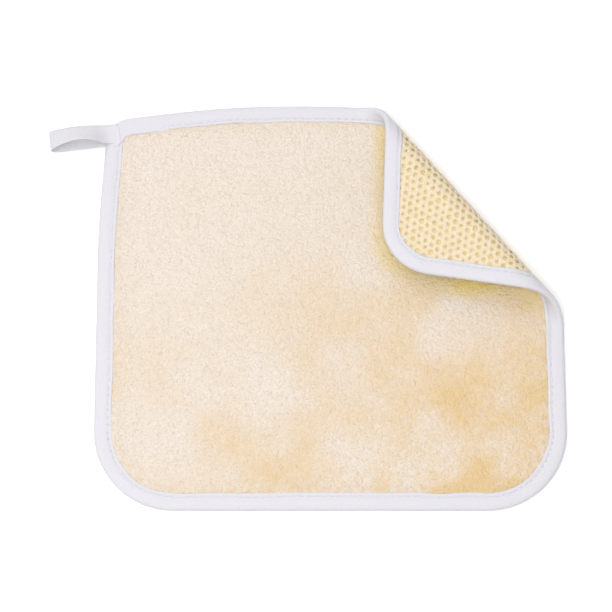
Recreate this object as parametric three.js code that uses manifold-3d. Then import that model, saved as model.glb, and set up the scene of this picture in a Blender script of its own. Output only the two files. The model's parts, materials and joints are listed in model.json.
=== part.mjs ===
// A bath scrub cloth: a soft pile fabric on the front, an open honeycomb net on the back, both raw
// edges held in one folded tape that is lockstitched all round, and a hanging loop of the same tape
// caught in one corner. The cloth lies flat with its pile side up, and the corner opposite the loop is
// turned over, so that its net side shows. Millimetres, +Z up, origin under the middle of the cloth on
// the surface that it lies on.
import * as THREE from "three";
import { mergeVertices } from "three/addons/utils/BufferGeometryUtils.js";
import Module from "manifold-3d";

const wasm = await Module();
wasm.setup();

// ---- Driving dimensions ----
const clothWidth = 250; // side to side
const clothLength = 224; // bottom edge to top edge
const baseCornerRadius = 43; // the two bottom corners
const foldCornerRadius = 28; // the corner that is turned over
const foldCornerInset = 0.5; // that corner is cut this far in from the side
const foldCornerDrop = 12.5; // and this far down from the top
const foldCornerEase = 108; // the top edge starts to drop this far before that corner
const loopCornerRadius = 14; // the corner with the loop
const loopCornerInset = 4; // the loop pulls its corner in from the side
const loopCornerDrop = 9; // and down from the top
const loopCornerEase = 68; // both edges start to bend this far before that corner
const edgeEaseRadius = 500; // of those gentle bends

const pileThickness = 1.7; // front fabric
const netThickness = 1.7; // back fabric
const layerGap = 0.3; // between the two fabrics
const squashedThickness = 0.5; // each fabric where the tape presses it

const tapeFace = 9.2; // width of the folded tape that shows on each side
const tapeThickness = 0.9; // its two folded layers on each side
const tapeWeb = 1; // the fold of the tape round the raw edge
const fitGap = 0.3; // clearance between pieces that touch

const seamInset = 7.2; // the stitch line, in from the outer edge
const threadWidth = 0.8;
const threadHeight = 0.45;
const threadFloor = 0.1; // clearance under the thread in its groove

const foldBearing = 40.6; // degrees, the way that the turned corner pointed, from +X
const foldReach = 91.5; // from the middle of the cloth to the outside of the fold
const foldRadius = 9.5; // of the soft fold, at the middle of the cloth's thickness
const flapDroop = 4; // degrees that the turned corner slopes down towards its tip

const loopBearing = 187; // degrees, the way that the loop points, from +X
const loopDrop = 8; // from the tip of its corner down to its middle
const loopTapeWidth = 11;
const loopTapeThickness = 1;
const loopReach = 31; // how far it stands out from the edge
const loopHeight = 10; // its highest point, above the surface
const loopTailDepth = 7; // the part of the loop that the edge tape holds
const loopTailThickness = 1.2; // two runs pressed together

// ---- What follows from them ----
const radians = THREE.MathUtils.degToRad;
const halfGap = layerGap / 2;
const frontFace = halfGap + pileThickness; // heights are from the middle of the cloth's thickness
const backFace = -halfGap - netThickness;
const middleHeight = -backFace; // of that middle, above the surface
const grooveDepth = threadHeight + threadFloor;
// From the middle of the cloth to the fold's centre line. The net is the outside of the fold.
const foldCentre = foldReach - foldRadius + backFace;
const foldTurn = Math.PI + radians(flapDroop);
const splitAt = foldCentre + (foldRadius * Math.PI) / 2; // flat distance at which the fold faces outwards
const past = 1; // how far a cutter goes past what it cuts

const pileColour = new THREE.MeshStandardMaterial({ color: 0xf3dfc4, roughness: 0.95, metalness: 0 });
const netColour = new THREE.MeshStandardMaterial({ color: 0xeedcae, roughness: 0.8, metalness: 0 });
const tapeColour = new THREE.MeshStandardMaterial({ color: 0xeceaf2, roughness: 0.85, metalness: 0 });
const threadColour = new THREE.MeshStandardMaterial({ color: 0xf4f4f8, roughness: 0.6, metalness: 0 });

// ---- The flat outline ----
// Its corners, anticlockwise from the bottom left, each with its radius. Those with the ease radius are
// where a long edge starts to bend towards the corner beside it.
const [side, top] = [clothWidth / 2, clothLength / 2];
const corners = [
  [-side, -top, baseCornerRadius],
  [side, -top, baseCornerRadius],
  [side - foldCornerInset, top - foldCornerDrop, foldCornerRadius],
  [side - foldCornerEase, top, edgeEaseRadius],
  [-side + loopCornerEase, top, edgeEaseRadius],
  [-side + loopCornerInset, top - loopCornerDrop, loopCornerRadius],
  [-side, top - loopCornerEase, edgeEaseRadius],
];
const arcStep = radians(11.25); // of the flat pieces that make a round corner
const foldSteps = 12; // flat pieces that make the fold
const smallestRadius = 1; // that a corner keeps when the outline is moved inwards
const weldDistance = 1e-4; // corners of a solid that are closer than this are one

const acrossFold = new THREE.Vector2(Math.cos(radians(foldBearing)), Math.sin(radians(foldBearing)));
const alongFold = new THREE.Vector2(acrossFold.y, -acrossFold.x);

// The edge from a to b, moved inwards.
function lineInside(a, b, inset) {
  const direction = b.clone().sub(a).normalize();
  const inwards = new THREE.Vector2(-direction.y, direction.x);
  return { start: a.clone().addScaledVector(inwards, inset), direction };
}

// Where two such edges meet.
function crossing(one, other) {
  const between = other.start.clone().sub(one.start);
  const share = between.cross(other.direction) / one.direction.cross(other.direction);
  return one.start.clone().addScaledVector(one.direction, share);
}

// The outline moved inwards by inset, as points with x across the fold and y along it.
function outline(inset) {
  const tips = corners.map(([x, y]) => new THREE.Vector2(x, y));
  const lines = tips.map((tip, i) => lineInside(tip, tips[(i + 1) % tips.length], inset));
  return lines.flatMap((leaving, i) => {
    const arriving = lines[(i + lines.length - 1) % lines.length];
    const radius = Math.max(corners[i][2] - inset, smallestRadius);
    const turn = Math.acos(THREE.MathUtils.clamp(arriving.direction.dot(leaving.direction), -1, 1));
    const tip = crossing(arriving, leaving);
    const start = tip.clone().addScaledVector(arriving.direction, -radius * Math.tan(turn / 2));
    const inwards = new THREE.Vector2(-arriving.direction.y, arriving.direction.x);
    const centre = start.clone().addScaledVector(inwards, radius);
    const steps = Math.ceil(turn / arcStep);
    return Array.from({ length: steps + 1 }, (_, k) => {
      const point = start.clone().rotateAround(centre, (turn * k) / steps);
      return new THREE.Vector2(point.dot(acrossFold), point.dot(alongFold));
    });
  });
}

// How far the outline reaches along the fold, at one distance across it.
function spanAt(points, across) {
  const reached = points.flatMap((a, i) => {
    const b = points[(i + 1) % points.length];
    if (a.x === b.x || (a.x - across) * (b.x - across) > 0) return [];
    return [THREE.MathUtils.mapLinear(across, a.x, b.x, a.y, b.y)];
  });
  return [Math.min(...reached), Math.max(...reached)];
}

// ---- The fold ----
// Where a point of the flat cloth goes: across and along the fold, and height above the middle of the
// cloth's thickness. Beyond is negative before the fold, and past it is the length of the flap so far.
function folded(across, along, height) {
  const turned = THREE.MathUtils.clamp((across - foldCentre) / foldRadius, 0, foldTurn);
  const beyond = across - foldCentre - turned * foldRadius;
  const inner = foldRadius - height;
  const out = foldCentre + inner * Math.sin(turned) + beyond * Math.cos(turned);
  const up = foldRadius - inner * Math.cos(turned) + beyond * Math.sin(turned);
  const plan = acrossFold.clone().multiplyScalar(out).addScaledVector(alongFold, along);
  return new THREE.Vector3(plan.x, plan.y, middleHeight + up);
}

const foldStep = (foldRadius * foldTurn) / foldSteps;
const foldStations = Array.from({ length: foldSteps + 1 }, (_, k) => foldCentre + foldStep * k);

// One layer of the cloth between two heights, inside the outline moved in by inset, from one distance
// across the fold to another. It is a box with a row of segments, each row moved to its own station.
function layer(inset, low, high, from = -Infinity, to = Infinity) {
  const points = outline(inset);
  const tip = 0.02; // the outline's two ends are left blunt, so that no row has zero width
  const first = Math.max(from, Math.min(...points.map((p) => p.x)) + tip);
  const last = Math.min(to, Math.max(...points.map((p) => p.x)) - tip);
  const all = [...points.map((p) => p.x), ...foldStations];
  const inside = all.filter((x) => x > first + tip && x < last - tip);
  const sorted = [first, ...inside.sort((a, b) => a - b), last];
  const stations = sorted.filter((x, i) => !i || x - sorted[i - 1] > tip / 2);
  const box = new THREE.BoxGeometry(1, 1, 1, stations.length - 1, 1, 1);
  const position = box.getAttribute("position");
  for (let i = 0; i < position.count; i++) {
    const across = stations[Math.round((position.getX(i) + 0.5) * (stations.length - 1))];
    const along = spanAt(points, across)[position.getY(i) < 0 ? 1 : 0];
    position.setXYZ(i, ...folded(across, along, position.getZ(i) < 0 ? low : high));
  }
  return solid(box);
}

// ---- Solids ----
function solid(geometry) {
  const bare = geometry.clone();
  bare.deleteAttribute("normal");
  bare.deleteAttribute("uv");
  const merged = mergeVertices(bare, weldDistance);
  const vertProperties = merged.getAttribute("position").array;
  const triVerts = new Uint32Array(merged.index.array);
  return new wasm.Manifold(new wasm.Mesh({ numProp: 3, vertProperties, triVerts }));
}

function mesh(name, made, material) {
  const { vertProperties, triVerts } = made.getMesh();
  const geometry = new THREE.BufferGeometry();
  geometry.setAttribute("position", new THREE.BufferAttribute(vertProperties, 3));
  geometry.setIndex(new THREE.BufferAttribute(triVerts, 1));
  geometry.computeVertexNormals();
  const piece = new THREE.Mesh(geometry, material);
  piece.name = name;
  return piece;
}

// ---- The loop's corner ----
// The loop leaves the left edge just below its corner. Its own frame has x along the loop and y towards
// the bottom of the cloth. It stands off far enough for its square end to clear the slanting edge.
const [loopTip, easeTip] = corners.slice(-2).map(([x, y]) => new THREE.Vector2(x, y));
const loopEdge = lineInside(loopTip, easeTip, 0);
const loopRoot = loopEdge.start.clone().addScaledVector(loopEdge.direction, loopDrop);
const loopSkew = radians(loopBearing) - (loopEdge.direction.angle() - Math.PI / 2);
const loopStandOff = fitGap + (loopTapeWidth / 2) * Math.abs(Math.tan(loopSkew));

// A box in the loop's frame, set out from the edge by x, with its middle at height z.
function loopBox(length, width, height, x, z) {
  const box = new THREE.BoxGeometry(length, width, height);
  box.translate(x + length / 2, 0, z);
  box.rotateZ(radians(loopBearing));
  box.translate(loopRoot.x, loopRoot.y, 0);
  return solid(box);
}

// The two runs of tape that the edge tape holds, and the room that they take.
const tail = () => loopBox(loopTailDepth, loopTapeWidth, loopTailThickness, -loopTailDepth, middleHeight);
function tailRoom() {
  const depth = loopTailDepth + fitGap;
  const width = loopTapeWidth + 2 * fitGap;
  return loopBox(depth + past, width, loopTailThickness + 2 * fitGap, -depth, middleHeight);
}

// ---- The pieces ----
// Each one is made twice: from the far corner to the fold, and from the fold to the turned tip.
const pressed = halfGap + squashedThickness;
const clothRange = [-Infinity, splitAt - fitGap / 2];
const cornerRange = [splitAt + fitGap / 2, Infinity];

// The same range, opened at the fold so that a cutter runs past the end that it cuts.
const opened = ([from, to]) => [from - past, to + past];

function fabric(range, side) {
  const body = side > 0 ? [halfGap, frontFace] : [backFace, -halfGap];
  const edge = side > 0 ? [halfGap, pressed] : [-pressed, -halfGap];
  return layer(tapeFace + fitGap, ...body, ...range).add(layer(tapeWeb + fitGap, ...edge, ...range));
}

function groove(range, low, high, half) {
  return layer(seamInset - half, low, high, ...range).subtract(
    layer(seamInset + half, low - past, high + past, ...opened(range)),
  );
}

function edgeTape(range) {
  const wide = opened(range);
  const half = threadWidth / 2 + fitGap;
  return layer(0, backFace, frontFace, ...range)
    .subtract(layer(tapeFace, backFace - past, frontFace + past, ...wide))
    .subtract(layer(tapeWeb, backFace + tapeThickness, frontFace - tapeThickness, ...wide))
    .subtract(groove(wide, frontFace - grooveDepth, frontFace + past, half))
    .subtract(groove(wide, backFace - past, backFace + grooveDepth, half));
}

function seamThread(range, side) {
  const low = side > 0 ? frontFace - threadHeight : backFace;
  return groove(range, low, low + threadHeight, threadWidth / 2);
}

const sinkShare = 1 / 3; // of its length, over which the lower run leaves the edge and then levels out
const flatShare = 2 / 3; // of its length, at which the lower run lies on the surface
const riseShare = 1 / 2; // of its length, over which the upper run leaves the edge and then levels out
const curveSteps = 6; // flat pieces that make each curve

// The middle of the loop's tape from the side: the lower run sinks to the surface, the end turns round
// and the upper run comes back over it.
function loopLine() {
  const half = loopTapeThickness / 2;
  const apart = half + fitGap / 2; // of each run from the middle of the cloth, where they meet
  const turn = (loopHeight - loopTapeThickness) / 2;
  const end = loopReach - half - turn;
  const path = new THREE.Path();
  path.moveTo(loopStandOff, middleHeight - apart);
  const [sink, rise] = [end * sinkShare, end * riseShare];
  path.bezierCurveTo(sink, middleHeight - apart, sink, half, end * flatShare, half);
  path.lineTo(end, half);
  path.absarc(end, loopHeight / 2, turn, -Math.PI / 2, Math.PI / 2);
  const [above, meeting] = [loopHeight - half, middleHeight + apart];
  path.bezierCurveTo(rise, above, rise, meeting, loopStandOff, meeting);
  return path.getPoints(curveSteps).filter((p, i, all) => !i || p.distanceTo(all[i - 1]) > half / 2);
}

// The same line as a closed band, half a thickness to each side.
function loopBand() {
  const line = loopLine();
  const shifted = (distance) =>
    line.map((p, i) => {
      const ahead = line[Math.min(i + 1, line.length - 1)].clone().sub(line[Math.max(i - 1, 0)]).normalize();
      return new THREE.Vector2(p.x + ahead.y * distance, p.y - ahead.x * distance);
    });
  return new THREE.Shape([...shifted(loopTapeThickness / 2), ...shifted(-loopTapeThickness / 2).reverse()]);
}

function hangingLoop() {
  const band = new THREE.ExtrudeGeometry(loopBand(), { depth: loopTapeWidth, bevelEnabled: false });
  band.rotateX(Math.PI / 2);
  band.translate(0, loopTapeWidth / 2, 0);
  band.rotateZ(radians(loopBearing));
  band.translate(loopRoot.x, loopRoot.y, 0);
  return solid(band);
}

const cloth = new THREE.Group();
cloth.name = "scrub_cloth";
cloth.add(
  mesh("front_panel", fabric(clothRange, 1).subtract(tailRoom()), pileColour),
  mesh("back_net", fabric(clothRange, -1).subtract(tailRoom()), netColour),
  mesh("edge_tape", edgeTape(clothRange).subtract(tailRoom()), tapeColour),
  mesh("needle_thread", seamThread(clothRange, 1), threadColour),
  mesh("bobbin_thread", seamThread(clothRange, -1), threadColour),
  mesh("loop_tails", tail(), tapeColour),
  mesh("front_panel_corner", fabric(cornerRange, 1), pileColour),
  mesh("back_net_corner", fabric(cornerRange, -1), netColour),
  mesh("edge_tape_corner", edgeTape(cornerRange), tapeColour),
  mesh("needle_thread_corner", seamThread(cornerRange, 1), threadColour),
  mesh("bobbin_thread_corner", seamThread(cornerRange, -1), threadColour),
  mesh("hanging_loop", hangingLoop(), tapeColour),
);

export default cloth;
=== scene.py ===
import json
import math

import bmesh
import bpy
import numpy as np
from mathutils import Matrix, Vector


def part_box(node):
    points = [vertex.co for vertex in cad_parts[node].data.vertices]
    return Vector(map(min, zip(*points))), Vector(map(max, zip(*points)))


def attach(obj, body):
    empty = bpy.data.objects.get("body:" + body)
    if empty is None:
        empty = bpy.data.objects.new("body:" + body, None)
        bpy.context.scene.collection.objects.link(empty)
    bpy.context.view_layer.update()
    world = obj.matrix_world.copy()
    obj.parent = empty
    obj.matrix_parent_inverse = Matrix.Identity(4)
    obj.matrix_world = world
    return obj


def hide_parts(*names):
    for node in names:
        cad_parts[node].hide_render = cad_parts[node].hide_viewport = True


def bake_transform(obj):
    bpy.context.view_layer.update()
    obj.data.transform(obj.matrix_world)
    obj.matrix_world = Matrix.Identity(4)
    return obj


# A bath scrub cloth: a pebbled pile fabric in front, a honeycomb net behind, a tape folded over the raw
# edge and lockstitched, and a hanging loop of tape. One corner is turned over to show the net.
# Metres, +Z up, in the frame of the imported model.

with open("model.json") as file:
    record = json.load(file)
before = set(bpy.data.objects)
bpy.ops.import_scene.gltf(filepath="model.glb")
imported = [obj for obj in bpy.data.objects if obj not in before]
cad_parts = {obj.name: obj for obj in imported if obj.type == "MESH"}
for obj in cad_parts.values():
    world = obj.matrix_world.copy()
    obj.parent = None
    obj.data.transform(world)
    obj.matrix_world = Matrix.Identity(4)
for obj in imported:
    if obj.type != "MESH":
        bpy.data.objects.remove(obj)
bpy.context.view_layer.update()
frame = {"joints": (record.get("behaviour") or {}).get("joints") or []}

MM = 0.001

# ---- The cloth, flat: the sizes that the solids were made from ----
WIDTH = 250 * MM
LENGTH = 224 * MM
BASE_RADIUS = 43 * MM
FOLD_CORNER_RADIUS = 28 * MM
FOLD_CORNER_INSET = 0.5 * MM
FOLD_CORNER_DROP = 12.5 * MM
FOLD_CORNER_EASE = 108 * MM
LOOP_CORNER_RADIUS = 14 * MM
LOOP_CORNER_INSET = 4 * MM
LOOP_CORNER_DROP = 9 * MM
LOOP_CORNER_EASE = 68 * MM
EASE_RADIUS = 500 * MM
HALF_THICKNESS = 1.85 * MM
TAPE_FACE = 9.2 * MM
TAPE_THICKNESS = 0.9 * MM
SEAM_INSET = 7.2 * MM
FIT_GAP = 0.3 * MM
TOUCH_GAP = 0.01 * MM  # keeps what lies on the floor from cutting into it
CUT_INSET = 1.3 * MM  # from the outer edge to the panels' cut edge, inside the tape
FLAP_DROOP = math.radians(4)

# ---- The fold, from the joint that opens it ----
joints = {joint["name"]: joint for joint in frame["joints"]}
FOLD_AXIS = Vector(joints["corner_fold"]["axis"])
FOLD_POINT = Vector(joints["corner_fold"]["pos_m"])
ACROSS = np.array([FOLD_AXIS.y, -FOLD_AXIS.x])
ALONG = np.array([ACROSS[1], -ACROSS[0]])
FOLD_REACH = float(ACROSS @ np.array(FOLD_POINT[:2])) - FIT_GAP / 2
FOLD_RADIUS = FOLD_POINT.z - HALF_THICKNESS
FOLD_CENTRE = FOLD_REACH - FOLD_RADIUS - HALF_THICKNESS
FOLD_TURN = math.pi + FLAP_DROOP

# ---- The stitches, the net and the pile ----
STITCH_PITCH = 4 * MM
STITCH_LENGTH = 2.9 * MM
THREAD_RADIUS = 0.3 * MM
NET_PITCH = 4.1 * MM
NET_HOLE = 0.43  # of the cell's own radius
PILE_STEP = 0.86 * MM
PILE_HEIGHT = 0.6 * MM
PILE_BLOCK = 4  # steps of the front to one step of the pile's plain back
PILE_BACK = -0.8 * MM
PILE_INSET = 2.2 * MM  # from the outer edge to the pile's mesh
LAP_STEP = 0.5 * MM
LAP_BEFORE, LAP_AFTER = 62, 26  # steps of the lapped tape end on each side of the loop's corner
LOOP_HALF_WIDTH = 5.4 * MM
LOOP_THICKNESS = 0.75 * MM
TAN_SLOPE = 0.6
# strength of the painted glow under the turned corner: light through the flap, painted onto the pile
PAINTED_GLOW_UNDER_FLAP = 0.6
ARC_STEPS = 32
NOISE_GRID = 512
SEED = 7


def outline_corners():
    side, top = WIDTH / 2, LENGTH / 2
    return [
        (-side, -top, BASE_RADIUS),
        (side, -top, BASE_RADIUS),
        (side - FOLD_CORNER_INSET, top - FOLD_CORNER_DROP, FOLD_CORNER_RADIUS),
        (side - FOLD_CORNER_EASE, top, EASE_RADIUS),
        (-side + LOOP_CORNER_EASE, top, EASE_RADIUS),
        (-side + LOOP_CORNER_INSET, top - LOOP_CORNER_DROP, LOOP_CORNER_RADIUS),
        (-side, top - LOOP_CORNER_EASE, EASE_RADIUS),
    ]


def edge_path(spacing):
    """The outer edge, anticlockwise, in equal steps: points and the unit normals that point inwards."""
    corners = outline_corners()
    tips = [np.array(c[:2]) for c in corners]
    dense = []
    for i, tip in enumerate(tips):
        before, after = tips[i - 1], tips[(i + 1) % len(tips)]
        arriving = (tip - before) / np.linalg.norm(tip - before)
        leaving = (after - tip) / np.linalg.norm(after - tip)
        turn = math.acos(float(np.clip(arriving @ leaving, -1, 1)))
        radius = corners[i][2]
        start = tip - arriving * radius * math.tan(turn / 2)
        centre = start + np.array([-arriving[1], arriving[0]]) * radius
        for k in range(ARC_STEPS + 1):
            angle = turn * k / ARC_STEPS
            c, s = math.cos(angle), math.sin(angle)
            arm = start - centre
            dense.append(centre + np.array([arm[0] * c - arm[1] * s, arm[0] * s + arm[1] * c]))
    dense = np.array(dense + dense[:1])
    run = np.concatenate([[0], np.cumsum(np.linalg.norm(np.diff(dense, axis=0), axis=1))])
    count = int(round(run[-1] / spacing))
    at = np.arange(count) * run[-1] / count
    points = np.stack([np.interp(at, run, dense[:, k]) for k in (0, 1)], axis=1)
    tangent = np.roll(points, -1, axis=0) - np.roll(points, 1, axis=0)
    tangent /= np.linalg.norm(tangent, axis=1)[:, None]
    inwards = np.stack([-tangent[:, 1], tangent[:, 0]], axis=1)
    return points, inwards, run[-1]


def area_inside(inset):
    """The flat area of a panel cut to the outline, less an inset all round."""
    points, inwards, _ = edge_path(2 * MM)
    x, y = (points + inwards * inset).T
    return float(abs(x @ np.roll(y, -1) - y @ np.roll(x, -1)) / 2)


def folded(xy, height):
    """Where points of the flat cloth go: xy is (n, 2), height is above the middle of the thickness."""
    across, along = xy @ ACROSS, xy @ ALONG
    turned = np.clip((across - FOLD_CENTRE) / FOLD_RADIUS, 0, FOLD_TURN)
    beyond = across - FOLD_CENTRE - turned * FOLD_RADIUS
    inner = FOLD_RADIUS - height
    out = FOLD_CENTRE + inner * np.sin(turned) + beyond * np.cos(turned)
    up = FOLD_RADIUS - inner * np.cos(turned) + beyond * np.sin(turned)
    plan = out[:, None] * ACROSS + along[:, None] * ALONG
    return np.column_stack([plan, HALF_THICKNESS + up])


def edge_distance(xy):
    """How far inside the outer edge each point is; negative outside."""
    points, inwards, _ = edge_path(1 * MM)
    nearest = np.empty(len(xy))
    batch = 4000
    for first in range(0, len(xy), batch):
        part = xy[first : first + batch]
        gap = part[:, None, :] - points[None, :, :]
        index = (gap**2).sum(2).argmin(1)
        nearest[first : first + batch] = (gap[np.arange(len(part)), index] * inwards[index]).sum(1)
    return nearest


def mesh_piece(name, verts, faces, material):
    mesh = bpy.data.meshes.new(name)
    mesh.from_pydata(np.asarray(verts).tolist(), [], [tuple(int(i) for i in f) for f in faces])
    mesh.materials.append(material)
    mesh.polygons.foreach_set("use_smooth", [True] * len(mesh.polygons))
    mesh.update()
    piece = bpy.data.objects.new(name, mesh)
    bpy.context.scene.collection.objects.link(piece)
    return piece


def value_noise(xy, scale, seed):
    """Smooth noise from -1 to 1 over the flat cloth."""
    grid = np.random.default_rng(seed).uniform(-1, 1, (NOISE_GRID, NOISE_GRID))
    u, v = (xy / scale + 200).T  # the shift keeps the cloth's middle off the grid's own edge
    i, j = np.floor(u).astype(int), np.floor(v).astype(int)
    a, b = u - i, v - j
    a, b = a * a * (3 - 2 * a), b * b * (3 - 2 * b)
    i, j = i % (NOISE_GRID - 1), j % (NOISE_GRID - 1)
    low = grid[i, j] * (1 - a) + grid[i + 1, j] * a
    high = grid[i, j + 1] * (1 - a) + grid[i + 1, j + 1] * a
    return low * (1 - b) + high * b


def crumple(xy):
    """The slow, shallow waves of a cloth that has been handled."""
    return 0.35 * MM * value_noise(xy, 38 * MM, SEED) + 0.15 * MM * value_noise(xy, 17 * MM, SEED + 1)


def attribute(piece, name, values):
    """A number for each vertex that the materials read."""
    layer = piece.data.attributes.new(name, "FLOAT", "POINT")
    layer.data.foreach_set("value", np.asarray(values, np.float32))


def flat_uv(piece, flat):
    """UVs that are the flat cloth in decimetres, so that a pattern follows the cloth round the fold."""
    layer = piece.data.uv_layers.new(name="flat")
    index = np.empty(len(piece.data.loops), int)
    piece.data.loops.foreach_get("vertex_index", index)
    layer.data.foreach_set("uv", (np.asarray(flat)[index] * 10).ravel())


# ---- Shader parts ----
def new_material(name):
    material = bpy.data.materials.new(name)
    material.use_nodes = True
    tree = material.node_tree
    return material, tree, tree.nodes["Principled BSDF"]


def node(tree, kind, **values):
    made = tree.nodes.new(kind)
    for key, value in values.items():
        if key in made.inputs:
            made.inputs[key].default_value = value
        else:
            setattr(made, key, value)
    return made


def add_sockets(group, in_out, **kinds):
    for name, kind in kinds.items():
        group.interface.new_socket(name=name, in_out=in_out, socket_type="NodeSocket" + kind)


def fibre_group():
    """Fine fibres: a colour that varies from one tuft to the next, and a height for a bump."""
    group = bpy.data.node_groups.new("fibre_grain", "ShaderNodeTree")
    add_sockets(group, "INPUT", Vector="Vector", Base="Color", Deep="Color", Pale="Color")
    add_sockets(group, "INPUT", Scale="Float", Amount="Float")
    add_sockets(group, "OUTPUT", Colour="Color", Height="Float")
    given, result = group.nodes.new("NodeGroupInput"), group.nodes.new("NodeGroupOutput")
    fine = node(group, "ShaderNodeTexNoise", Detail=4.0, Roughness=0.7)
    tufts = node(group, "ShaderNodeTexVoronoi", feature="F1")
    finer = node(group, "ShaderNodeMath", operation="MULTIPLY")
    finer.inputs[1].default_value = 1.4
    link = group.links.new
    link(given.outputs["Scale"], tufts.inputs["Scale"])
    link(given.outputs["Scale"], finer.inputs[0])
    link(finer.outputs[0], fine.inputs["Scale"])
    link(given.outputs["Vector"], fine.inputs["Vector"])
    link(given.outputs["Vector"], tufts.inputs["Vector"])
    spread = node(group, "ShaderNodeMapRange")
    spread.inputs["From Min"].default_value = 0.32
    spread.inputs["From Max"].default_value = 0.68
    link(fine.outputs["Fac"], spread.inputs["Value"])
    amount = node(group, "ShaderNodeMath", operation="MULTIPLY")
    link(spread.outputs[0], amount.inputs[0])
    link(given.outputs["Amount"], amount.inputs[1])
    deepen = node(group, "ShaderNodeMix", data_type="RGBA")
    link(tufts.outputs["Distance"], deepen.inputs[0])
    link(given.outputs["Base"], deepen.inputs[6])
    link(given.outputs["Deep"], deepen.inputs[7])
    lift = node(group, "ShaderNodeMix", data_type="RGBA")
    link(amount.outputs[0], lift.inputs[0])
    link(deepen.outputs[2], lift.inputs[6])
    link(given.outputs["Pale"], lift.inputs[7])
    height = node(group, "ShaderNodeMath", operation="SUBTRACT")
    link(fine.outputs["Fac"], height.inputs[0])
    link(tufts.outputs["Distance"], height.inputs[1])
    link(lift.outputs[2], result.inputs["Colour"])
    link(height.outputs[0], result.inputs["Height"])
    return group


def use_group(tree, group, vector, **values):
    placed = tree.nodes.new("ShaderNodeGroup")
    placed.node_tree = group
    for key, value in values.items():
        placed.inputs[key].default_value = value
    tree.links.new(vector, placed.inputs["Vector"])
    return placed


def surface(shader, **values):
    """Constants on the shader's own inputs, their names written with _ for a space."""
    for key, value in values.items():
        shader.inputs[key.replace("_", " ")].default_value = value


def tinted(tree, colour, mask, tint):
    """A colour that turns into the tint where the piece's own attribute is high."""
    read = node(tree, "ShaderNodeAttribute", attribute_name=mask)
    mixed = node(tree, "ShaderNodeMix", data_type="RGBA")
    mixed.inputs[7].default_value = tint
    tree.links.new(read.outputs["Fac"], mixed.inputs[0])
    tree.links.new(colour, mixed.inputs[6])
    return mixed.outputs[2]


def bump(tree, shader, height, strength, distance):
    made = node(tree, "ShaderNodeBump", Strength=strength, Distance=distance)
    tree.links.new(height, made.inputs["Height"])
    tree.links.new(made.outputs["Normal"], shader.inputs["Normal"])


def let_light_through(tree, shader, colour, share):
    """Cloth so open that some of the light on its far side comes through, in the yarn's own colour."""
    through = node(tree, "ShaderNodeBsdfTranslucent")
    through.inputs["Color"].default_value = colour
    mixed = tree.nodes.new("ShaderNodeMixShader")
    mixed.inputs[0].default_value = share
    tree.links.new(shader.outputs[0], mixed.inputs[1])
    tree.links.new(through.outputs[0], mixed.inputs[2])
    tree.links.new(mixed.outputs[0], tree.nodes["Material Output"].inputs["Surface"])


def pile_material(grain):
    material, tree, shader = new_material("pebbled_pile")
    flat = node(tree, "ShaderNodeUVMap", uv_map="flat")
    fibres = use_group(
        tree,
        grain,
        flat.outputs["UV"],
        Base=(0.97, 0.88, 0.81, 1),
        Deep=(0.70, 0.55, 0.41, 1),
        Pale=(1.0, 0.97, 0.94, 1),
        Scale=75.0,
        Amount=0.95,
    )
    warmed = tinted(tree, fibres.outputs["Colour"], "warmth", (0.86, 0.64, 0.36, 1))
    # Painted light: the glow of light through the turned corner, painted into the pile's colour
    painted_glow = tinted(tree, warmed, "painted_amber_glow", (1.0, 0.78, 0.27, 1))
    # Painted shade: the pile's back, seen only through the net's holes, is painted deep yellow for the warm
    # light trapped in the holes
    painted_hole_shade_colour = tinted(tree, painted_glow, "inner", (0.98, 0.81, 0.40, 1))
    tree.links.new(painted_hole_shade_colour, shader.inputs["Base Color"])
    surface(shader, Roughness=0.92, Sheen_Weight=0.25, Sheen_Roughness=0.5, Specular_IOR_Level=0.2)
    bump(tree, shader, fibres.outputs["Height"], 1.0, 0.65 * MM)
    let_light_through(tree, shader, (0.98, 0.86, 0.68, 1), 0.25)
    return material


def net_material(grain):
    material, tree, shader = new_material("honeycomb_net")
    place = node(tree, "ShaderNodeTexCoord")
    fibres = use_group(
        tree,
        grain,
        place.outputs["Object"],
        Base=(0.80, 0.68, 0.48, 1),
        Deep=(0.71, 0.56, 0.31, 1),
        Pale=(0.92, 0.86, 0.75, 1),
        Scale=1100.0,
        Amount=1.0,
    )
    # Painted shade: the net turns deep yellow down its holes, standing in for the warm light trapped and
    # bounced in the holes
    inside = tinted(tree, fibres.outputs["Colour"], "painted_hole_shade", (0.98, 0.80, 0.38, 1))
    tree.links.new(inside, shader.inputs["Base Color"])
    surface(shader, Roughness=0.75, Sheen_Weight=0.2, Specular_IOR_Level=0.3)
    bump(tree, shader, fibres.outputs["Height"], 0.7, 0.35 * MM)
    let_light_through(tree, shader, (0.98, 0.82, 0.45, 1), 0.25)
    return material


def tape_material(grain):
    material, tree, shader = new_material("woven_tape")
    place = node(tree, "ShaderNodeTexCoord")
    weave = node(
        tree, "ShaderNodeTexWave", wave_type="BANDS", bands_direction="DIAGONAL", Scale=420.0, Distortion=1.5
    )
    tree.links.new(place.outputs["Object"], weave.inputs["Vector"])
    fibres = use_group(
        tree,
        grain,
        place.outputs["Object"],
        Base=(0.60, 0.59, 0.625, 1),
        Deep=(0.53, 0.52, 0.56, 1),
        Pale=(0.65, 0.64, 0.67, 1),
        Scale=1700.0,
        Amount=0.7,
    )
    tree.links.new(fibres.outputs["Colour"], shader.inputs["Base Color"])
    surface(shader, Roughness=0.8, Sheen_Weight=0.15, Specular_IOR_Level=0.25)
    both = node(tree, "ShaderNodeMath", operation="ADD")
    tree.links.new(weave.outputs["Fac"], both.inputs[0])
    tree.links.new(fibres.outputs["Height"], both.inputs[1])
    bump(tree, shader, both.outputs[0], 0.35, 0.12 * MM)
    return material


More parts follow.
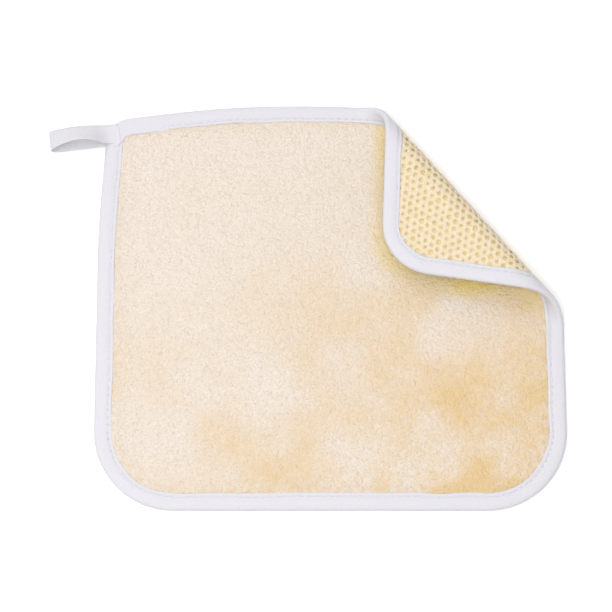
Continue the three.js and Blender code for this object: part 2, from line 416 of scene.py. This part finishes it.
def thread_material(grain):
    material, tree, shader = new_material("seam_thread")
    place = node(tree, "ShaderNodeTexCoord")
    fibres = use_group(
        tree,
        grain,
        place.outputs["Object"],
        Base=(0.62, 0.615, 0.66, 1),
        Deep=(0.52, 0.515, 0.58, 1),
        Pale=(0.69, 0.685, 0.72, 1),
        Scale=3000.0,
        Amount=0.6,
    )
    tree.links.new(fibres.outputs["Colour"], shader.inputs["Base Color"])
    surface(shader, Roughness=0.55, Specular_IOR_Level=0.4)
    bump(tree, shader, fibres.outputs["Height"], 0.3, 0.08 * MM)
    return material


grain = fibre_group()
PILE = pile_material(grain)
NET = net_material(grain)
TAPE = tape_material(grain)
THREAD = thread_material(grain)


# ---- Pieces ----
def warmth_of(xy):
    """The loofah yarn is tanner towards the lower right and along the tape, in soft patches."""
    turned = xy @ np.array([[0.8, 0.6], [-0.6, 0.8]])
    patch = value_noise(turned, 30 * MM, SEED + 2) + 0.6 * value_noise(xy, 13 * MM, SEED + 9)
    speck = value_noise(turned, 2.2 * MM, SEED + 11)
    slope = 0.53 + xy[:, 0] / WIDTH * 0.62 - xy[:, 1] / LENGTH * 0.7
    tint = TAN_SLOPE * np.clip(slope, 0, None) ** 1.5 * (1 + 0.85 * patch + 0.35 * speck)
    beside_tape = np.clip(1 - (edge_distance(xy) - TAPE_FACE) / (12 * MM), 0, 1)
    return np.clip(tint + 0.2 * beside_tape**2 * (1 + speck), 0, 1)


def painted_amber_glow_of(xy):
    """Painted light: under and just beside the turned corner the pile is given a warm glow, painted in for
    the light that comes through the cloth of the flap; it stays when the corner is opened.
    """
    patch = value_noise(xy, 12 * MM, SEED + 10)
    before_fold = FOLD_CENTRE - xy @ ACROSS
    flap_over = xy + (2 * before_fold + FOLD_TURN * FOLD_RADIUS)[:, None] * ACROSS
    inside_flap = np.clip(edge_distance(flap_over) / (9 * MM) + 1, 0, 1)
    below_fold = np.clip(1 + before_fold / (20 * MM), 0, 1)
    covered = inside_flap * below_fold
    return np.clip(PAINTED_GLOW_UNDER_FLAP * covered * (1 + 0.6 * patch), 0, 1)


def front_panel():
    """The pile is a fine, tufted front joined all round to a plain back, so that it is one closed sheet."""
    columns = int(WIDTH / PILE_STEP / PILE_BLOCK) * PILE_BLOCK + 1
    rows = int(LENGTH / PILE_STEP / PILE_BLOCK) * PILE_BLOCK + 1
    x = (np.arange(columns) - (columns - 1) / 2) * PILE_STEP
    y = (np.arange(rows) - (rows - 1) / 2) * PILE_STEP
    grid = np.stack(np.meshgrid(x, y), axis=-1)
    coarse = grid[::PILE_BLOCK, ::PILE_BLOCK]
    held = (edge_distance(coarse.reshape(-1, 2)) > PILE_INSET).reshape(coarse.shape[:2])
    block = held[:-1, :-1] & held[1:, :-1] & held[:-1, 1:] & held[1:, 1:]
    fine = np.kron(block, np.ones((PILE_BLOCK, PILE_BLOCK), bool))
    number = np.arange(rows * columns).reshape(rows, columns)
    front = np.stack([number[:-1, :-1], number[:-1, 1:], number[1:, 1:], number[1:, :-1]], axis=-1)
    behind = number[::PILE_BLOCK, ::PILE_BLOCK] + rows * columns
    back = np.stack([behind[:-1, :-1], behind[1:, :-1], behind[1:, 1:], behind[:-1, 1:]], axis=-1)
    faces = [tuple(f) for f in front[fine]] + [tuple(f) for f in back[block]]
    faces += pile_rim(block, number, behind)

    jitter = np.random.default_rng(SEED).uniform(-0.3, 0.3, grid.shape) * PILE_STEP
    flat = np.concatenate([(grid + jitter).reshape(-1, 2), grid.reshape(-1, 2)])
    inside = edge_distance(flat[: rows * columns])
    tuft = np.random.default_rng(SEED + 3).uniform(0, 1, rows * columns) ** 1.3
    curl = np.abs(value_noise(flat[: rows * columns], 1.4 * MM, SEED + 4))
    lift = np.clip(crumple(flat[: rows * columns]), -0.3 * MM, 0.4 * MM)
    rise = np.clip((inside - TAPE_FACE + 0.9 * MM) / (1.5 * MM), 0, 1)
    height = HALF_THICKNESS - 1.0 * MM + rise * (0.7 * MM + tuft * PILE_HEIGHT + curl * 0.3 * MM + lift)
    height = np.concatenate([height, np.full(rows * columns, PILE_BACK)])
    used, faces_flat = np.unique(np.concatenate([np.array(f) for f in faces]), return_inverse=True)
    sizes = np.cumsum([len(f) for f in faces])[:-1]
    flat, height = flat[used], height[used]
    piece = mesh_piece("pile_fabric", folded(flat, height), np.split(faces_flat, sizes), PILE)
    flat_uv(piece, flat)
    attribute(piece, "warmth", warmth_of(flat))
    # the mask of the painted glow under the turned corner
    attribute(piece, "painted_amber_glow", painted_amber_glow_of(flat))
    # the pile's back, which takes the painted warm shade of the holes
    attribute(piece, "inner", used >= rows * columns)
    return piece


def pile_rim(block, number, behind):
    """Faces that close the sheet: one along each outer side of a block, from the fine front to the back."""
    padded = np.pad(block, 1)
    around = ((0, 0), (0, 1), (1, 1), (1, 0))  # a block's corners, as steps in row and column
    beside = ((0, 1), (1, 2), (2, 1), (1, 0))  # the block across the side that leaves each corner, padded
    rim = []
    for r, c in np.argwhere(block):
        for side, (down, right) in enumerate(around):
            if padded[r + beside[side][0], c + beside[side][1]]:
                continue
            next_down, next_right = around[(side + 1) % 4]
            line = [
                number[
                    (r + down) * PILE_BLOCK + k * (next_down - down),
                    (c + right) * PILE_BLOCK + k * (next_right - right),
                ]
                for k in range(PILE_BLOCK + 1)
            ]
            rim.append((*line[::-1], behind[r + down, c + right], behind[r + next_down, c + next_right]))
    return rim


def net_centres(radius):
    """The middles of the net's cells, row by row, as far out as the tape covers them."""
    rows = int(LENGTH / (radius * 1.5)) + 2
    columns = int(WIDTH / NET_PITCH) + 2
    centres = []
    for row in range(-rows // 2, rows // 2 + 1):
        for column in range(-columns // 2, columns // 2 + 1):
            centres.append(((column + (row % 2) / 2) * NET_PITCH, row * radius * 1.5))
    centres = np.array(centres)
    return centres[edge_distance(centres) > TAPE_FACE - 2.4 * MM]


def back_net():
    """One net cell is a hexagon with a hole. Neighbours share their outer corners."""
    radius = NET_PITCH / math.sqrt(3)
    rng = np.random.default_rng(SEED + 5)
    key, flat, height, painted_hole_shade, faces, rim = {}, [], [], [], [], {}

    def shared(x, y, side):
        name = (round(2 * x / NET_PITCH), round(2 * y / radius), side)
        if name not in key:
            key[name] = len(flat)
            flat.append((x + rng.uniform(-0.3, 0.3) * MM, y + rng.uniform(-0.3, 0.3) * MM))
            height.append(-HALF_THICKNESS + 0.14 * MM if side else PILE_BACK - 0.25 * MM)
            painted_hole_shade.append(0.0 if side else 1.0)
        return key[name]

    for cx, cy in net_centres(radius):
        hole = radius * NET_HOLE * rng.uniform(0.62, 1.22)
        shift = rng.uniform(-0.28, 0.28, 2) * MM
        slant = rng.uniform(-0.16, 0.16)
        outer = []
        for k in range(6):
            angle = math.pi / 6 + k * math.pi / 3
            x, y = cx + radius * math.cos(angle), cy + radius * math.sin(angle)
            outer.append((shared(x, y, 1), shared(x, y, 0)))
        first = len(flat)
        # the hole's rim and floor carry the mask of the painted shade: a little at the rim, full at the
        # floor
        for level, sink in ((-HALF_THICKNESS + 0.45 * MM, 0.25), (PILE_BACK - 0.3 * MM, 1.0)):
            for k in range(6):
                angle = math.pi / 6 + k * math.pi / 3 + slant
                x = cx + shift[0] + hole * math.cos(angle) * 1.08
                y = cy + shift[1] + hole * math.sin(angle) * 0.94
                flat.append((x, y))
                height.append(level)
                painted_hole_shade.append(sink)
        for k in range(6):
            n = (k + 1) % 6
            faces.append((outer[n][0], outer[k][0], first + k, first + n))
            faces.append((first + n, first + k, first + 6 + k, first + 6 + n))
            faces.append((outer[k][1], outer[n][1], first + 6 + n, first + 6 + k))
            side = frozenset((outer[k][0], outer[n][0]))
            if side in rim:
                del rim[side]
            else:
                rim[side] = (outer[k][0], outer[n][0], outer[n][1], outer[k][1])
    faces += list(rim.values())
    flat = np.array(flat)
    fuzz = 0.12 * MM * np.random.default_rng(SEED + 7).uniform(-1, 1, len(flat))
    height = np.array(height) + fuzz + 0.08 * MM * value_noise(flat, 6 * MM, SEED + 6)
    height = np.maximum(height, -HALF_THICKNESS + 0.03 * MM)

    # Under the tape the net is pressed flat between the tape and the pile.
    under = np.clip((TAPE_FACE - edge_distance(flat)) / (1 * MM), 0, 1)
    pressed = -HALF_THICKNESS + TAPE_THICKNESS + 0.02 * MM + 0.1 * MM * (height > -HALF_THICKNESS + 0.6 * MM)
    height = height + under * (pressed - height)
    piece = mesh_piece("honeycomb_net", folded(flat, height), faces, NET)
    # the mask of the painted warm shade in the holes: 0 on the net's face, 1 at its underside
    attribute(piece, "painted_hole_shade", painted_hole_shade)
    return piece


def tape_section():
    """The folded tape's outline, as (in from the edge, height) pairs: the front hem, round the raw edge to
    the back hem, and then back through the channel that holds the cloth."""
    h, w, t = HALF_THICKNESS / MM, TAPE_FACE / MM, TAPE_THICKNESS / MM
    seam = SEAM_INSET / MM
    front_hem = [(w, h - 0.75), (w + 0.05, h - 0.3), (w - 0.25, h + 0.02), (w - 0.9, h + 0.06)]
    front_groove = [(seam + 0.6, h), (seam, h - 0.42), (seam - 0.6, h)]
    front_face = [(5.2, h + 0.05), (3.4, h + 0.08), (1.8, h - 0.02)]
    turn = [(0.8, h - 0.35), (0.2, h - 0.9), (0, 0), (0.2, -h + 0.9), (0.8, -h + 0.35)]
    back_face = [(1.8, -h + 0.08), (5.2, -h + 0.03)]
    back_groove = [(seam - 0.6, -h + 0.05), (seam, -h + 0.5), (seam + 0.6, -h + 0.05)]
    back_hem = [(w - 0.25, -h + 0.05), (w, -h + 0.7)]
    back_wall = [(w - 0.4, -h + t - 0.02), (5, -h + t), (1.8, -h + t)]
    front_wall = [(1.8, h - t), (5, h - t), (w - 0.4, h - t + 0.02)]
    outside = front_hem + front_groove + front_face + turn + back_face + back_groove + back_hem
    channel = back_wall + [(1, -0.5), (1, 0.5)] + front_wall
    return [(inset * MM, height * MM) for inset, height in outside + channel]


def tape_waver(at, total):
    """How far the tape's inner hem wanders in or out, at a distance along the edge."""
    places = 60
    wander = np.random.default_rng(SEED + 8).uniform(-1, 1, places)
    return 0.45 * MM * np.interp(at, np.linspace(0, total, places), wander)


def edge_tape():
    points, inwards, total = edge_path(1.3 * MM)
    section = tape_section()
    count, size = len(points), len(section)
    at = np.arange(count) * total / count
    waver = tape_waver(at, total)
    flat, height = [], []
    for inset, level in section:
        near_seam = math.exp(-(((inset - SEAM_INSET) / (2 * MM)) ** 2))
        pucker = 0.16 * MM * np.cos(at / STITCH_PITCH * 2 * math.pi) * near_seam
        flat.append(points + inwards * (inset + waver * (inset / TAPE_FACE))[:, None])
        height.append(np.full(count, level) + (pucker if level > 0 else -pucker * 0.5))
    flat = np.stack(flat, axis=1).reshape(-1, 2)
    height = np.clip(np.stack(height, axis=1).ravel(), -HALF_THICKNESS + TOUCH_GAP, None)
    faces = []
    for i in range(count):
        j = (i + 1) % count
        for k in range(size):
            n = (k + 1) % size
            faces.append((i * size + k, i * size + n, j * size + n, j * size + k))
    return mesh_piece("binding_tape", folded(flat, height), faces, TAPE)


def strip_faces(rows, wide):
    """Faces of a short strip of tape. Each row has its points on top and then its points underneath."""
    faces = []
    for k in range(rows - 1):
        near, far = k * 2 * wide, (k + 1) * 2 * wide
        for c in range(wide - 1):
            faces.append((near + c, far + c, far + c + 1, near + c + 1))
            faces.append((near + wide + c, near + wide + c + 1, far + wide + c + 1, far + wide + c))
        faces.append((near, near + wide, far + wide, far))
        faces.append((near + wide - 1, far + wide - 1, far + 2 * wide - 1, near + 2 * wide - 1))
    last = (rows - 1) * 2 * wide
    for c in range(wide - 1):
        faces.append((c, c + 1, wide + c + 1, wide + c))
        faces.append((last + c, last + wide + c, last + wide + c + 1, last + c + 1))
    return faces


def tape_end():
    """The end of the edge tape: lapped over its beginning at the loop's corner, and cut round at the tip."""
    points, inwards, _ = edge_path(LAP_STEP)
    corner = np.array([-WIDTH / 2 + LOOP_CORNER_INSET, LENGTH / 2 - LOOP_CORNER_DROP])
    nearest = int(((points - corner) ** 2).sum(1).argmin())
    run = np.arange(nearest - LAP_BEFORE, nearest + LAP_AFTER) % len(points)
    across = np.linspace(0.25 * MM, TAPE_FACE + 0.35 * MM, 19)
    middle = across.mean()
    round_steps, rise_steps, narrowest = 18, 24, 0.03
    flat, height = [], []
    for k, index in enumerate(run):
        to_tip = min((len(run) - 1 - k) / round_steps, 1)
        narrow = math.sqrt(max(1 - (1 - to_tip) ** 2, narrowest**2))
        lifted = (0.65 * min(k / rise_steps, 1) - 0.2) * MM
        for on_top in (True, False):
            for a in across:
                at = middle + (a - middle) * narrow
                roll = 0.35 * MM * abs((at - middle) / (across[-1] - middle)) ** 8
                flat.append(points[index] + inwards[index] * at)
                height.append(HALF_THICKNESS + (lifted - roll if on_top else -0.3 * MM))
    faces = strip_faces(len(run), len(across))
    piece = mesh_piece("tape_end", folded(np.array(flat), np.array(height)), faces, TAPE)
    outward_normals(piece)
    return piece


def outward_normals(piece):
    mesh = bmesh.new()
    mesh.from_mesh(piece.data)
    bmesh.ops.recalc_face_normals(mesh, faces=mesh.faces)
    mesh.to_mesh(piece.data)
    mesh.free()


def stitches(name, side):
    """A row of short stitches. Each one is a spindle of thread that dips into the tape at its two ends."""
    points, inwards, total = edge_path(0.5 * MM)
    at = np.arange(len(points)) * total / len(points)
    seam = SEAM_INSET + tape_waver(at, total) * SEAM_INSET / TAPE_FACE
    count = int(total / STITCH_PITCH)
    flat, height, faces = [], [], []
    rings, around = 7, 6
    for s in range(count):
        middle = (s + 0.5) * total / count
        first = len(flat)
        for r in range(rings):
            along = (r / (rings - 1) - 0.5) * STITCH_LENGTH
            index = int(((middle + along) / total) * len(points)) % len(points)
            swell = math.sin(math.pi * (r + 0.35) / (rings - 0.3)) ** 0.5
            lift = -0.3 * MM * (2 * r / (rings - 1) - 1) ** 4
            for a in range(around):
                angle = a / around * 2 * math.pi
                reach = THREAD_RADIUS * swell
                flat.append(points[index] + inwards[index] * (seam[index] + reach * math.cos(angle)))
                height.append(side * (HALF_THICKNESS - 0.12 * MM + lift) + reach * math.sin(angle) * 0.8)
        for r in range(rings - 1):
            for a in range(around):
                n = (a + 1) % around
                ring, after = first + r * around, first + (r + 1) * around
                faces.append((ring + a, ring + n, after + n, after + a))
        faces.append(tuple(first + a for a in reversed(range(around))))
        faces.append(tuple(first + (rings - 1) * around + a for a in range(around)))
    height = np.clip(np.array(height), -HALF_THICKNESS + TOUCH_GAP, None)
    return mesh_piece(name, folded(np.array(flat), height), faces, THREAD)


def smooth_line(line, parts):
    """A curve through all the points of a line, with so many steps from each point to the next."""
    line = np.array(line, float)
    last = len(line) - 1
    steps = []
    for k in range(last):
        p0, p1, p2, p3 = line[max(0, k - 1)], line[k], line[k + 1], line[min(last, k + 2)]
        for t in np.linspace(0, 1, parts, endpoint=False):
            square = (2 * p0 - 5 * p1 + 4 * p2 - p3) * t * t
            cube = (3 * p1 - p0 - 3 * p2 + p3) * t**3
            steps.append(0.5 * (2 * p1 + (p2 - p0) * t + square + cube))
    return np.array([*steps, line[last]])


def loop_tape():
    """One strip: out from the corner on top, round the end and back along the surface."""
    joint = joints["loop_swing"]
    root = Vector(joint["pos_m"])
    width_way = -Vector(joint["axis"])
    out_way = Vector((width_way.y, -width_way.x, 0))
    if out_way.x > 0:
        out_way = -out_way
    low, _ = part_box("hanging_loop")
    reach = (root.x - low.x) / abs(out_way.x) / MM - 1

    # Along the loop, height, and how far that place is banked, its front edge up: millimetres and degrees.
    upper_run = [(-8.5, 3.9, 0), (-5, 4.0, 0), (-1.5, 4.2, 4), (2, 5.2, 12), (6, 6.6, 24), (11, 7.6, 30)]
    upper_run += [(16, 7.8, 30), (21, 7.2, 25), (25.5, 6.2, 16), (28.6, 5.0, 7)]
    end = [(reach, 3.7, 0), (reach - 0.4, 2.3, 0), (reach - 2.4, 1.1, 0)]
    lower_run = [(24, 0.6, 0), (17, 0.5, 0), (10, 0.6, 0), (5, 1.1, 0), (1, 1.7, 0), (-4, 1.85, 0)]
    steps = smooth_line(upper_run + end + lower_run, 6)
    places, banks = steps[:, :2] * MM, np.radians(steps[:, 2])
    verts = []
    across = np.linspace(-1, 1, 15)
    for k, (x, z) in enumerate(places):
        ahead = places[min(k + 1, len(places) - 1)] - places[max(k - 1, 0)]
        ahead = ahead / np.linalg.norm(ahead)
        up = np.array([-ahead[1], ahead[0]])
        for face in (1, -1):
            for a in across:
                hem = LOOP_THICKNESS / 2 * (1 - 0.55 * abs(a) ** 8) * face
                span = (a + 1) * LOOP_HALF_WIDTH
                out = x + up[0] * hem
                level = z + up[1] * hem + span * math.sin(banks[k])
                at = root + out_way * out + width_way * (span * math.cos(banks[k]) - LOOP_HALF_WIDTH)
                verts.append((at.x, at.y, max(level, 2 * TOUCH_GAP)))
    piece = mesh_piece("loop_tape", verts, strip_faces(len(places), len(across)), TAPE)
    outward_normals(piece)
    length = float(np.linalg.norm(np.diff(places, axis=0), axis=1).sum())
    return piece, root, out_way, (2 * LOOP_HALF_WIDTH, length)


# ---- The cloth, put together ----
pile = front_panel()
net = back_net()
tape = edge_tape()
needle = stitches("needle_stitches", 1)
bobbin = stitches("bobbin_stitches", -1)
loop, loop_root, loop_out, loop_flat = loop_tape()

# All the cloth's pieces were bent by the same fold; here each is baked into world space and the model's
# solids that it stands for are hidden.
for piece, nodes, finish in (
    (pile, ("front_panel", "front_panel_corner"), "pile_fabric"),
    (net, ("back_net", "back_net_corner"), "net_fabric"),
    (tape, ("edge_tape", "edge_tape_corner"), "woven_tape"),
    (needle, ("needle_thread", "needle_thread_corner"), "seam_thread"),
    (bobbin, ("bobbin_thread", "bobbin_thread_corner"), "seam_thread"),
):
    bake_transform(piece)
    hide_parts(*nodes)

lap = tape_end()
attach(lap, "cloth")
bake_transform(loop)
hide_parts("hanging_loop", "loop_tails")

cut_area = area_inside(CUT_INSET)


# ---- Studio ----
def light(name, place, size, power):
    """A square lamp that points at the middle of the cloth."""
    data = bpy.data.lights.new(name, "AREA")
    data.size = size
    data.energy = power
    lamp = bpy.data.objects.new(name, data)
    bpy.context.scene.collection.objects.link(lamp)
    lamp.location = place
    lamp.rotation_euler = (-Vector(place)).to_track_quat("-Z", "Y").to_euler()


def studio():
    bpy.ops.mesh.primitive_plane_add(size=6, location=(0, 0, -2 * TOUCH_GAP))
    floor = bpy.context.object
    floor.name = "studio_floor"
    material, _, shader = new_material("pale_floor")
    surface(shader, Base_Color=(0.93, 0.93, 0.93, 1), Roughness=0.9)
    floor.data.materials.append(material)
    light("key", (-0.25, -0.45, 1.15), 0.9, 10)
    light("fill", (-0.45, 0.85, 1.0), 1.2, 5.5)
    light("top", (0, 0, 1.5), 1.6, 7)
    world = bpy.data.worlds.new("studio")
    world.use_nodes = True
    background = world.node_tree.nodes["Background"]
    background.inputs["Color"].default_value = (1, 1, 1, 1)
    background.inputs["Strength"].default_value = 0.5
    bpy.context.scene.world = world


def camera():
    """A long lens, 75 degrees above the surface."""
    elevation = math.radians(75)
    lens, sensor = 150, 36
    seen_width = 328.34 * MM
    distance = seen_width * lens / sensor
    target = Vector((-12.9 * MM, -0.3 * MM, 0))
    back = Vector((0, -math.cos(elevation), math.sin(elevation)))
    data = bpy.data.cameras.new("camera")
    data.lens = lens
    data.sensor_width = sensor
    data.clip_end = 20
    made = bpy.data.objects.new("camera", data)
    bpy.context.scene.collection.objects.link(made)
    made.location = target + back * distance
    made.rotation_euler = (-back).to_track_quat("-Z", "Y").to_euler()
    bpy.context.scene.camera = made


studio()
camera()
bpy.context.scene.view_settings.view_transform = "Standard"
